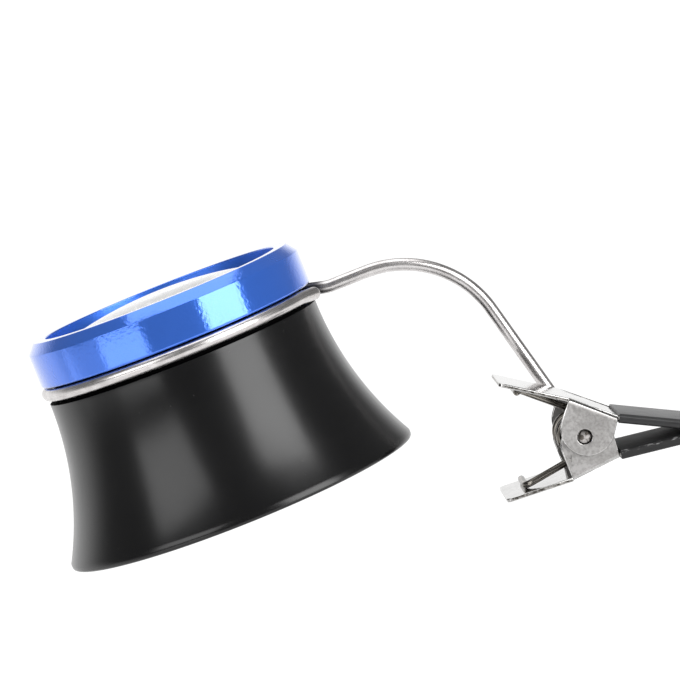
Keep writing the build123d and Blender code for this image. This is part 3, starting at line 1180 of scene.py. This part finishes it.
UPPER = HalfSizes(
    node="upper_clip_half",
    sleeve_node="upper_jaw_sleeve",
    body=Body.CLIP_UPPER,
    side=1,
    lever_reach=8.75,
    lever_height=6.3,
    fold_height=4.2,
    neck_height=1.95,
    jaw_slope=9.1,
    closing_height=-0.2,
    sleeve=SoftSleeve(),
)
LOWER = HalfSizes(
    node="lower_clip_half",
    sleeve_node="lower_jaw_sleeve",
    body=Body.CLIP_LOWER,
    side=-1,
    lever_reach=8.55,
    lever_height=6.55,
    fold_height=4.65,
    neck_height=2.4,
    jaw_slope=10.3,
    closing_height=0.2,
    # The lower sleeve is rougher, and its darker colour is painted shade under the upper jaw
    sleeve=SoftSleeve("soft_black_pvc_rough_painted_shade", "#161617", roughness=0.62),
)


@dataclass
class SheetClip:
    """The two pressed clip halves, their rubber sleeves and the torsion spring between them."""

    place: ClipPlace = ClipPlace()
    width: float = 10.8
    sheet: float = 0.42
    fold_start: float = 1.4
    fold_end: float = 3.7
    jaw_reach: float = 14.9
    jaw_margin: float = 0.3
    edge_rounding: float = 0.1
    flat_area: float = 1.5
    least_area: float = 0.03
    level_degrees: float = 0.5
    soft_degrees: float = 30.0
    square_degrees: float = 60.0
    ear_facing: float = 0.9
    weld: float = 1e-6
    sleeve_wall: float = 0.3
    sleeve_start: float = 0.08
    sleeve_overhang: float = 0.4
    sleeve_rounding: float = 0.45
    sleeve_lip: float = 0.06
    lip_steps: int = 6
    sleeve_bend: float = 14.0
    hollow_rounding: float = 0.02
    glint_height: float = 0.3
    glint_gain: float = 1.6
    pad_gap: float = 0.06
    spring_wire: float = 0.75
    spring_coil_diameter: float = 3.9
    coil_steps: int = 200
    spring_offset: float = 0.5
    spring_half_width: float = 2.9
    spring_whole_turns: int = 2
    spring_bend: float = 0.9
    spring_end_rounding: float = 0.12
    spring_seat_clearance: float = 0.03
    spring_blend: float = 1.4
    upper_bar: tuple[float, float] = (6.72, 2.2)
    lower_bar: tuple[float, float] = (6.35, 3.2)

    def build(self) -> None:
        """Builds both halves, both sleeves and the spring."""
        finishes = [kind().make() for kind in (NickelSheet, ShearedEdge, RubbedNickel)]
        for half in (UPPER, LOWER):
            self.build_half(half, finishes)
            self.build_sleeve(half)
        self.build_spring()

    def build_half(self, half: HalfSizes, finishes: Sequence[bpy.types.Material]) -> None:
        """Takes a merged copy of the pressed sheet and rounds its edges, which stay bright.

        The lever's cut edge lies in one plane with its ear, so a cut at the fold's start parts
        the two. Ears and faces larger than the flat area are shaded flat, and edges beside faces
        smaller than the least area, which are the punch mark's, stay sharp.

        Args:
            half: Which half.
            finishes: Finish of its plates, of its cut edges and of its ears.
        """
        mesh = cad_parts[half.node].data.copy()
        mesh.name = f"{half.node}_pressed"
        merged = bmesh.new()
        merged.from_mesh(mesh)
        bmesh.ops.remove_doubles(merged, verts=merged.verts, dist=self.weld)
        level = math.radians(self.level_degrees)
        bmesh.ops.dissolve_limit(
            merged, angle_limit=level, verts=merged.verts, edges=merged.edges
        )
        ends = self.place.moved(np.array([(-self.fold_start, 0, 0), (0, 0, 0)])) * MM
        parts = [*merged.verts, *merged.edges, *merged.faces]
        bmesh.ops.bisect_plane(merged, geom=parts, plane_co=ends[0], plane_no=ends[1] - ends[0])
        for face in merged.faces:
            ear = abs(face.normal.y) > self.ear_facing
            face.material_index = 1 if self.is_sheared(face) else 2 * ear
            face.smooth = not ear and face.calc_area() < self.flat_area * MM**2
        weight = merged.edges.layers.float.new("bevel_weight_edge")
        for edge in merged.edges:
            smallest = min(face.calc_area() for face in edge.link_faces)
            turned = edge.calc_face_angle(0) > SHARP
            edge[weight] = float(turned and smallest > self.least_area * MM**2)
        mesh.materials.clear()
        for finish in finishes:
            mesh.materials.append(finish)
        merged.to_mesh(mesh)
        merged.free()
        mesh.set_sharp_from_angle(angle=math.radians(self.soft_degrees))
        piece = add_object(mesh)
        bevel = piece.modifiers.new("rounded_edges", "BEVEL")
        bevel.width = self.edge_rounding * MM
        bevel.segments = 2
        bevel.limit_method = "WEIGHT"
        bevel.use_clamp_overlap = False
        bevel.material = 0
        seat(piece, half.node, half.body)

    def is_sheared(self, face: bmesh.types.BMFace) -> bool:
        """Tells a cut edge of the sheet from its broad faces and its folds.

        A cut edge is no wider than the sheet, twice its area over its perimeter, and its two
        longest sides turn square to the faces beside them.

        Args:
            face: The face.

        Returns:
            Whether it is a cut edge.
        """
        sides = sorted(face.edges, key=lambda side: side.calc_length())
        width = 2 * face.calc_area() / sum(side.calc_length() for side in sides)
        square = math.radians(self.square_degrees)
        turned = all(side.calc_face_angle(0) > square for side in sides[-2:])
        return width < self.sheet * MM and turned

    def outer_line(self, half: HalfSizes) -> np.ndarray:
        """Outer face of a half from the lever tip to the jaw tip, as it would lie if it were upper.

        Args:
            half: Which half.

        Returns:
            Points as distance ahead of the axle and height.
        """
        jaw_height = half.closing_height + self.pad_gap / 2 + self.sleeve_wall + self.sheet
        fall = math.tan(math.radians(half.jaw_slope))
        jaw_bend = self.fold_end + (half.neck_height - jaw_height) / fall
        return np.array(
            [
                (-half.lever_reach, half.lever_height),
                (-self.fold_start, half.fold_height),
                (self.fold_end, half.neck_height),
                (jaw_bend, jaw_height),
                (self.jaw_reach, jaw_height),
            ]
        )

    def sleeve_section(self, half_width: float, half_height: float, corner: float) -> np.ndarray:
        """Section of a flattened tube: a rectangle with rounded corners.

        Args:
            half_width: Half its width.
            half_height: Half its height.
            corner: Radius of its corners.

        Returns:
            Closed line of points, 4 corners of as many points as any other section's.
        """
        w, h = half_width, half_height
        corners = [(w, h), (-w, h), (-w, -h), (w, -h)]
        return closed_rounded(corners, [corner] * 4, steps=9)

    def sleeve_route(self, half: HalfSizes) -> tuple[np.ndarray, np.ndarray]:
        """Line along the middle of a jaw's sheet, from lip to lip of its sleeve.

        Args:
            half: Which half's jaw.

        Returns:
            The line's points and its unit ways, as distance ahead of the axle and height.
        """
        line = self.outer_line(half)[2:]
        first = (line[1] - line[0]) / np.linalg.norm(line[1] - line[0])
        last = (line[2] - line[1]) / np.linalg.norm(line[2] - line[1])
        start = line[0] + first * (self.sleeve_start + self.sleeve_lip)
        end = line[2] + last * (self.sleeve_overhang - self.sleeve_lip)
        route = rounded([start, line[1], end], [self.sleeve_bend], steps=16)
        path = evened(route, spacing=0.25)
        way = unit(np.gradient(path, axis=0))
        left = np.stack([-way[:, 1], way[:, 0]], axis=-1)
        return path - left * self.sheet / 2, way

    def build_sleeve(self, half: HalfSizes) -> None:
        """Carries the outer section along the jaw and back inside as the hollow, lips rounded.

        Stations run out along the jaw with the outer section, round the end lip, back with the
        inner section and round the start lip. A station's section is outer + (inner - outer) k,
        and a lip's stands lip sin(pi k) beyond the line's end.

        Args:
            half: Which half's sleeve.
        """
        path, way = self.sleeve_route(half)
        half_width, half_sheet = self.width / 2, self.sheet / 2
        outer = self.sleeve_section(
            half_width, half_sheet + self.sleeve_wall, self.sleeve_rounding
        )
        inner = self.sleeve_section(
            half_width - self.jaw_margin, half_sheet, self.hollow_rounding
        )
        lip = np.sin(np.linspace(0, math.pi / 2, self.lip_steps)) ** 2
        runs = [len(path), len(lip)] * 2
        along = np.arange(len(path))
        order = np.concatenate([along, 0 * lip + along[-1], along[::-1], 0 * lip]).astype(int)
        share = np.concatenate([np.zeros(len(path)), lip, np.ones(len(path)), 1 - lip])
        outwards = np.repeat([0, 1, 0, -1], runs)
        bulge = self.sleeve_lip * outwards * np.sin(math.pi * share)
        way = way[order]
        left = np.stack([-way[:, 1], way[:, 0]], axis=-1)
        centre = path[order] + bulge[:, None] * way
        section = outer[None] + (inner - outer)[None] * share[:, None, None]
        line = centre[:, None] + section[..., 1:] * left[:, None]
        rows = np.stack([line[..., 0], section[..., 0], line[..., 1] * half.side], axis=-1)
        lengthwise = arc_length(centre)[:, None]
        uv = np.stack(np.broadcast_arrays(arc_length(outer), lengthwise), axis=-1)
        # painted highlight: the lower sleeve's corners that face the upper jaw are marked for pale
        # dashes standing in for their glint
        bend = np.minimum(np.abs(outer[:, 0]) - half_width, 0) / self.sleeve_rounding + 1
        below = outer[:, 1] < -self.glint_height * outer[:, 1].max()
        glint = np.clip(self.glint_gain * np.where(below, bend, 0), 0, 1) * (half.side < 0)
        marks = {"corner": np.broadcast_to(glint, rows.shape[:2])}
        name, rows = f"{half.sleeve_node}_tube", self.place.moved(rows)
        tube = lay_surface(name, rows, half.sleeve.make(), uv, marks)
        seat(tube, half.sleeve_node, half.body)

    def bar_height(self, half: HalfSizes, back: float) -> float:
        """Height at which the spring's bar lies under a lever, a distance behind the axle.

        Args:
            half: Which half.
            back: The distance.

        Returns:
            The height, as it would be on the upper half.
        """
        start, end = self.outer_line(half)[:2]
        slope = (end[1] - start[1]) / (end[0] - start[0])
        inset = self.sheet + self.spring_wire / 2 + self.spring_seat_clearance
        return start[1] + slope * (-back - start[0]) - inset * math.hypot(1, slope)

    def tangent_angle(self, point: tuple[float, float], side: int) -> float:
        """Angle on the coil where a straight leg from a point meets it.

        Args:
            point: Distance ahead of the axle and height.
            side: One above the coil, minus one below.

        Returns:
            The angle in radians.
        """
        x, z = point[0] + self.spring_offset, point[1]
        opening = math.acos(self.spring_coil_diameter / 2 / math.hypot(x, z))
        return math.atan2(z, x) - side * opening

    def spring_path(self) -> np.ndarray:
        """Centre line: upper bar, leg, coil, leg, lower bar.

        The coil is R (cos t, sin t) about its centre, while y falls by an eased share of its width:
        share - sin(2 pi share) / 2 pi.

        Returns:
            The line's points in the clip's frame.
        """
        above = (-self.upper_bar[0], self.bar_height(UPPER, self.upper_bar[0]))
        below = (-self.lower_bar[0], -self.bar_height(LOWER, self.lower_bar[0]))
        start = self.tangent_angle(above, 1)
        finish = self.tangent_angle(below, -1) - 2 * math.pi * self.spring_whole_turns
        share = np.linspace(0, 1, self.coil_steps)
        turn = start + (finish - start) * share
        radius = self.spring_coil_diameter / 2
        eased = share - np.sin(2 * math.pi * share) / (2 * math.pi)
        across = self.spring_half_width * (1 - 2 * eased)
        wound = (radius * np.cos(turn) - self.spring_offset, across, radius * np.sin(turn))
        coil = np.stack(wound, axis=-1)
        upper = [
            (above[0], -self.upper_bar[1], above[1]),
            (above[0], self.spring_half_width, above[1]),
            coil[0],
        ]
        lower = [
            coil[-1],
            (below[0], -self.spring_half_width, below[1]),
            (below[0], self.lower_bar[1], below[1]),
        ]
        first, last = (rounded(leg, [self.spring_bend], steps=14) for leg in (upper, lower))
        return np.concatenate([first[:-1], coil, last[1:]])

    def build_spring(self) -> None:
        """Builds the spring, whose two legs lie under the two levers."""
        shape = RoundWire(
            radius=self.spring_wire / 2,
            rounding=(self.spring_end_rounding, self.spring_end_rounding),
            reference=(0, 0.8, 0.6),
            spacing=0.15,
            around=24,
            end_steps=5,
        )
        rows, uv = shape.tube(self.spring_path())
        rows, material = self.place.moved(rows), TemperedWire().make()
        piece = lay_surface("torsion_spring_wound", rows, material, uv)
        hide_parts("torsion_spring")
        back, rise = -self.spring_offset, self.spring_blend
        above, below = self.place.moved(np.array([(back, 0, rise), (back, 0, -rise)])) * MM
        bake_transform(piece)
        log.info("%s: %d faces", piece.name, len(piece.data.polygons))


# Camera and studio


@dataclass(frozen=True)
class Camera:
    """The photograph's camera, fitted to the object's outlines."""

    place: tuple[float, float, float] = (16.09, -383.72, 46.72)
    down_degrees: float = 5.129
    roll_degrees: float = 21.572
    focal_pixels: float = 3600.0
    image_pixels: float = 680.0
    sensor: float = 36.0
    nearest: float = 0.01
    farthest: float = 100.0

    def add(self) -> None:
        """Adds the camera: image right and up are the level axes turned by the roll."""
        down, roll = math.radians(self.down_degrees), math.radians(self.roll_degrees)
        level = np.array([1.0, 0, 0])
        upright = np.array([0, math.sin(down), math.cos(down)])
        right = level * math.cos(roll) - upright * math.sin(roll)
        up = level * math.sin(roll) + upright * math.cos(roll)
        away = (0, -math.cos(down), math.sin(down))
        data = bpy.data.cameras.new("camera")
        data.sensor_width = self.sensor
        data.lens = self.focal_pixels * self.sensor / self.image_pixels
        data.clip_start = self.nearest
        data.clip_end = self.farthest
        place = np.array(self.place) * MM
        bpy.context.scene.camera = add_object(data, (right, up, away, place))


@dataclass(frozen=True)
class Softbox:
    """A light panel that faces the object, placed by its direction seen from the object.

    Its angles are in degrees and its sizes in metres.
    """

    name: str
    azimuth: float
    elevation: float
    width: float
    height: float
    radiance: float
    distance: float = 0.9

    def add(self, target: np.ndarray) -> None:
        """Adds the panel, at its azimuth to the right of -Y and its elevation.

        Args:
            target: The point that it faces, in metres.
        """
        azimuth, elevation = math.radians(self.azimuth), math.radians(self.elevation)
        flat = math.cos(elevation)
        heading = (math.sin(azimuth) * flat, -math.cos(azimuth) * flat, math.sin(elevation))
        away, side = np.array(heading), np.array([math.cos(azimuth), math.sin(azimuth), 0])
        data = bpy.data.lights.new(self.name, "AREA")
        data.shape = "RECTANGLE"
        data.size = self.width
        data.size_y = self.height
        data.energy = self.radiance * math.pi * self.width * self.height
        place = target + away * self.distance
        add_object(data, (side, np.cross(away, side), away, place))


@dataclass(frozen=True)
class Studio:
    """Plain pale floor, a surround that is white behind the object, and six softboxes."""

    floor_height: float = -0.06
    floor_half: float = 0.3
    target: tuple[float, float, float] = (0.015, 0.0, 0.01)
    behind: tuple[float, float, float] = (-0.35, 0.94, -0.8)
    behind_edge: tuple[float, float] = (0.25, 0.8)
    dim: float = 0.2
    bright: float = 1.1
    softboxes: tuple[Softbox, ...] = (
        Softbox("right_softbox", 45.7, 8.5, 0.6, 0.92, 5.0),
        Softbox("left_softbox", -41, 25, 0.66, 0.44, 2.5),
        Softbox("low_left_softbox", -41, -10, 0.6, 0.31, 1.8),
        Softbox("far_left_softbox", -78, -10, 0.62, 0.31, 0.6),
        Softbox("top_softbox", 80, 82.5, 0.66, 0.88, 1.75),
        Softbox("back_softbox", 175, 58, 0.9, 0.6, 0.8),
    )

    def build(self) -> None:
        """Builds the floor, the surround and the lights."""
        self.add_floor()
        self.add_surround()
        for softbox in self.softboxes:
            softbox.add(np.array(self.target))

    def add_floor(self) -> None:
        """A small floor under the object, so that little mirrors it."""
        half = self.floor_half
        corners = [(-half, -half), (half, -half), (half, half), (-half, half)]
        mesh = bpy.data.meshes.new("floor")
        mesh.from_pydata([(x, y, self.floor_height) for x, y in corners], [], [(0, 1, 2, 3)])
        mesh.materials.append(FloorPaint().make())
        add_object(mesh)

    def add_surround(self) -> None:
        """White to the camera; to the object, white behind it and dim in front of it."""
        world = bpy.data.worlds.new("surround")
        bpy.context.scene.world = world
        world.use_nodes = True
        tree = world.node_tree
        tree.nodes.clear()
        way = add_node(tree, "TexCoord", {}).outputs["Generated"]
        facing = add_node(tree, "VectorMath", {0: way, 1: self.behind}, operation="DOT_PRODUCT")
        low, high = self.behind_edge
        levels = {"Value": facing.outputs["Value"], "From Min": low, "From Max": high}
        levels |= {"To Min": self.dim, "To Max": self.bright}
        back = add_node(tree, "MapRange", levels, interpolation_type="SMOOTHSTEP")
        path = add_node(tree, "LightPath", {}).outputs["Is Camera Ray"]
        seen = add_node(tree, "Math", {0: back, 1: path}, operation="MAXIMUM")
        light = add_node(tree, "Background", {"Color": linear("#ffffff"), "Strength": seen})
        add_node(tree, "OutputWorld", {"Surface": light})


def main() -> None:
    """Builds the camera, the studio and every sub-assembly."""
    logging.basicConfig(level=logging.INFO, format="%(message)s")
    bpy.context.scene.view_settings.view_transform = "Standard"
    Camera().add()
    Studio().build()
    LoupeHead().build()
    WireArm().build()
    SheetClip().build()


if __name__ == "__main__":
    main()
